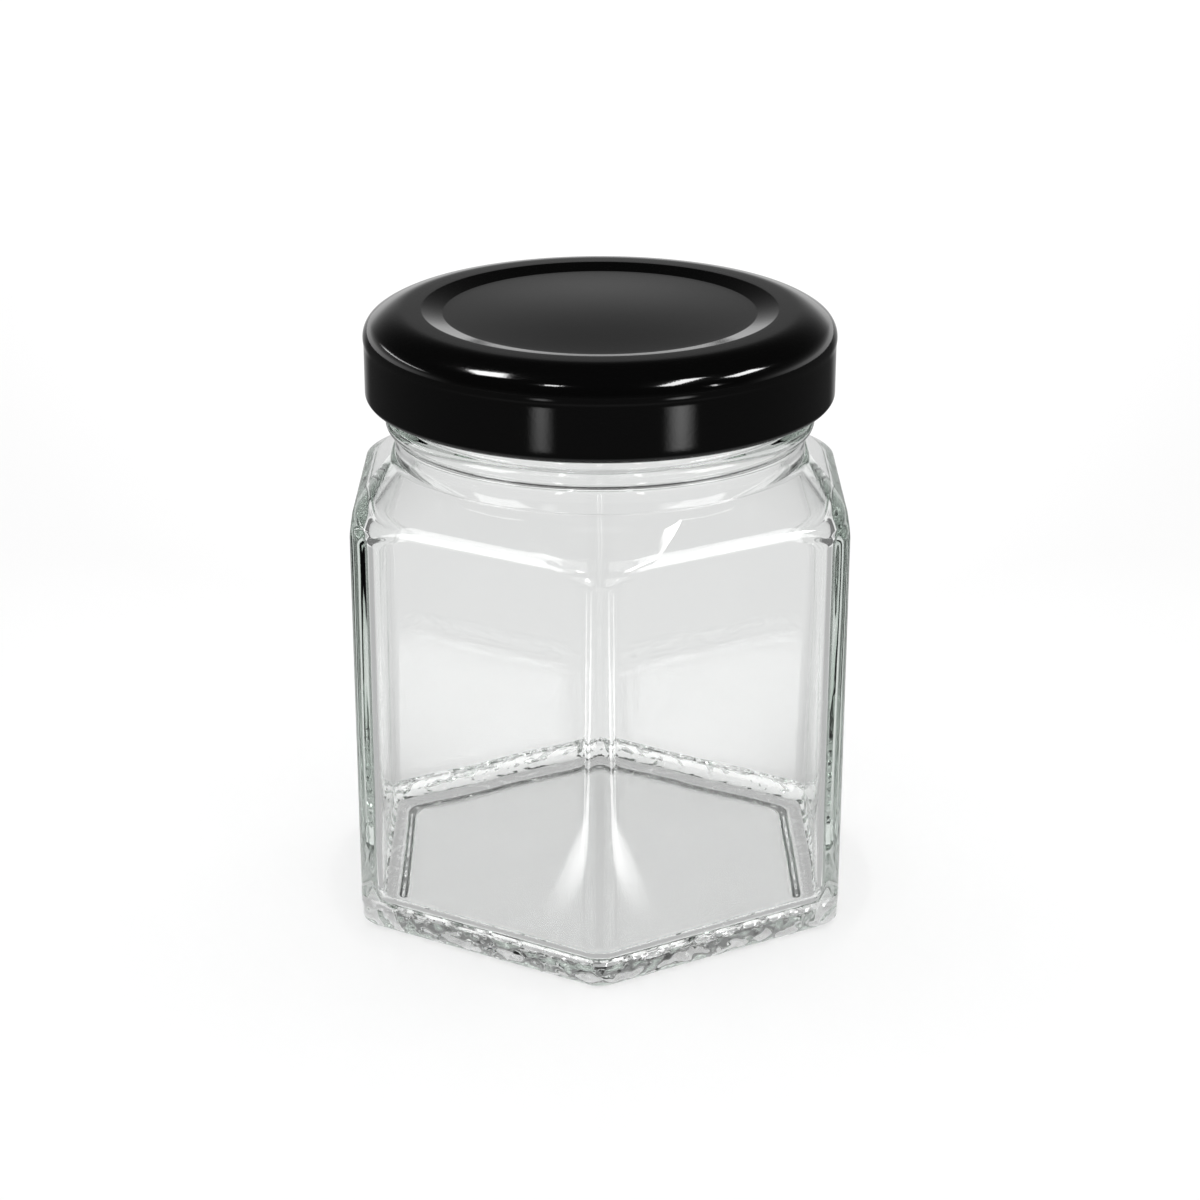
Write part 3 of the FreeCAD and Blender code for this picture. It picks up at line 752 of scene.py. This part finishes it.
def add_surroundings():
    """Even white light, and for gloss and glass a studio that is dark on the camera's side.

    What gloss sees of it darkens upwards too, so that the lid stays black.
    """
    world = bpy.data.worlds.new("studio")
    bpy.context.scene.world = world
    world.use_nodes = True
    tree = world.node_tree
    tree.nodes.clear()
    way = add_node(tree, "ShaderNodeSeparateXYZ", {
        "Vector": add_node(tree, "ShaderNodeTexCoord").outputs["Generated"]})
    behind = add_node(tree, "ShaderNodeMapRange", {
        "Value": way.outputs["Y"], "From Min": -0.35, "From Max": 0.45,
        "To Min": 0.03, "To Max": 1.0}, interpolation_type="SMOOTHSTEP")
    above = add_node(tree, "ShaderNodeMath", {0: 0.12, 1: way.outputs["Z"]}, operation="SUBTRACT")
    steep = add_node(tree, "ShaderNodeMath", {0: above.outputs[0], 1: 0.088}, operation="DIVIDE")
    fading = add_node(tree, "ShaderNodeMath", {0: steep.outputs[0]}, operation="EXPONENT")
    low = add_node(tree, "ShaderNodeMath", {0: fading.outputs[0], 1: 1.0}, operation="MINIMUM")
    seen, path = seen_rays(tree)
    through = add_node(tree, "ShaderNodeMath", {0: path.outputs["Is Transmission Ray"], 1: 0.2},
                       operation="MULTIPLY")
    height = add_node(tree, "ShaderNodeMath", {0: low.outputs[0], 1: through.outputs[0]}, operation="MAXIMUM")
    studio = add_node(tree, "ShaderNodeMath", {0: behind.outputs[0], 1: height.outputs[0]},
                      operation="MULTIPLY")
    shown = add_node(tree, "ShaderNodeMath", {0: studio.outputs[0], 1: path.outputs["Is Camera Ray"]},
                     operation="MAXIMUM")
    strength = add_node(tree, "ShaderNodeMix", {0: seen, 2: 1.0, 3: shown.outputs[0]})
    shine = add_node(tree, "ShaderNodeBackground", {"Color": linear("#FFFFFF"),
                                                    "Strength": strength.outputs[0]})
    add_node(tree, "ShaderNodeOutputWorld", {"Surface": shine.outputs["Background"]})


def ring_strip(inner, outer, height, steps=48):
    """Vertices and faces of a flat ring round the axis."""
    angles = np.arange(steps) * 2 * math.pi / steps
    vertices = [(radius * math.cos(a), radius * math.sin(a), height)
                for radius in (inner, outer) for a in angles]
    faces = [(k, (k + 1) % steps, steps + (k + 1) % steps, steps + k) for k in range(steps)]
    return vertices, faces


class JAR_OT_studio(bpy.types.Operator):
    """Sets the table, the surroundings, the softboxes, the two glowing cards of painted reflection and the
    camera
    """
    bl_idname = "glass_jar.studio"
    bl_label = "Studio"

    def execute(self, context):
        scene, sizes = context.scene, context.scene.jar_studio
        reach = TABLE_REACH
        corners = [(-reach, -reach, 0), (reach, -reach, 0), (reach, reach, 0), (-reach, reach, 0)]
        table = make_object("table", corners, [(0, 1, 2, 3)])
        table.data.materials.append(table_top(scene.jar_finishes))
        # Two rings that glow as painted reflection: one seen only by gloss, one only through glass.
        gloss = make_object("gloss_card", *ring_strip(CARD_INNER, CARD_OUTER, CARD_HEIGHT))
        gloss.data.materials.append(glowing_card_material("gloss_reflection_glow", 0.78, 1.12, 0.06, 1.0, 0.045, 0.16))
        gloss.visible_transmission = False
        glass = make_object("glass_card", *ring_strip(CARD_INNER, CARD_OUTER, CARD_HEIGHT))
        glass.data.materials.append(glowing_card_material("through_glass_glow", 0.5, 0.95, 0.5, 0.85, 0.02, 0.03))
        glass.visible_glossy = False
        for card in (gloss, glass):
            card.visible_camera = card.visible_diffuse = card.visible_shadow = False
        add_surroundings()
        for softbox in SOFTBOXES:
            add_softbox(*softbox)
        glassware = bpy.data.collections.new("glassware")
        glassware.objects.link(bpy.data.objects["glass_body"])
        for softbox in GLASS_SOFTBOXES:
            add_softbox(*softbox, lit=glassware)

        lens = bpy.data.cameras.new("camera")
        lens.sensor_width = 36
        lens.lens = sizes.lens
        camera = bpy.data.objects.new("camera", lens)
        scene.collection.objects.link(camera)
        camera.location = (0, -sizes.camera_distance, sizes.camera_height)
        aim = Vector((0, 0, sizes.aim_height)) - camera.location
        camera.rotation_euler = aim.to_track_quat("-Z", "Y").to_euler()
        scene.camera = camera
        scene.view_settings.view_transform = "Standard"
        scene.cycles.max_bounces = 32
        scene.cycles.transmission_bounces = 32
        scene.cycles.glossy_bounces = 16
        return {"FINISHED"}


# ---------------------------------------------------------------- add-on

class JAR_PT_panel(bpy.types.Panel):
    """The pieces of the jar, one button each, with their sizes and finishes"""
    bl_idname = "JAR_PT_panel"
    bl_label = "Glass jar"
    bl_space_type = "VIEW_3D"
    bl_region_type = "UI"
    bl_category = "Glass jar"

    def draw(self, context):
        for operator in OPERATORS:
            self.layout.operator(operator.bl_idname)
        for name in SETTINGS:
            box = self.layout.box()
            for key in getattr(context.scene, name).__annotations__:
                box.prop(getattr(context.scene, name), key)


OPERATORS = (JAR_OT_glass, JAR_OT_lid, JAR_OT_compound, JAR_OT_studio)
SETTINGS = {"jar_glass": GlassSizes, "jar_lid": LidSizes, "jar_finishes": Finishes, "jar_studio": StudioSizes}


def register():
    for group in SETTINGS.values():
        bpy.utils.register_class(group)
    for name, group in SETTINGS.items():
        setattr(bpy.types.Scene, name, PointerProperty(type=group))
    for thing in OPERATORS + (JAR_PT_panel,):
        bpy.utils.register_class(thing)


def unregister():
    for thing in OPERATORS + (JAR_PT_panel,):
        bpy.utils.unregister_class(thing)
    for name, group in SETTINGS.items():
        delattr(bpy.types.Scene, name)
        bpy.utils.unregister_class(group)


def main():
    register()
    bpy.ops.glass_jar.glass()
    bpy.ops.glass_jar.lid()
    bpy.ops.glass_jar.compound()
    bpy.ops.glass_jar.studio()


if __name__ == "__main__":
    main()
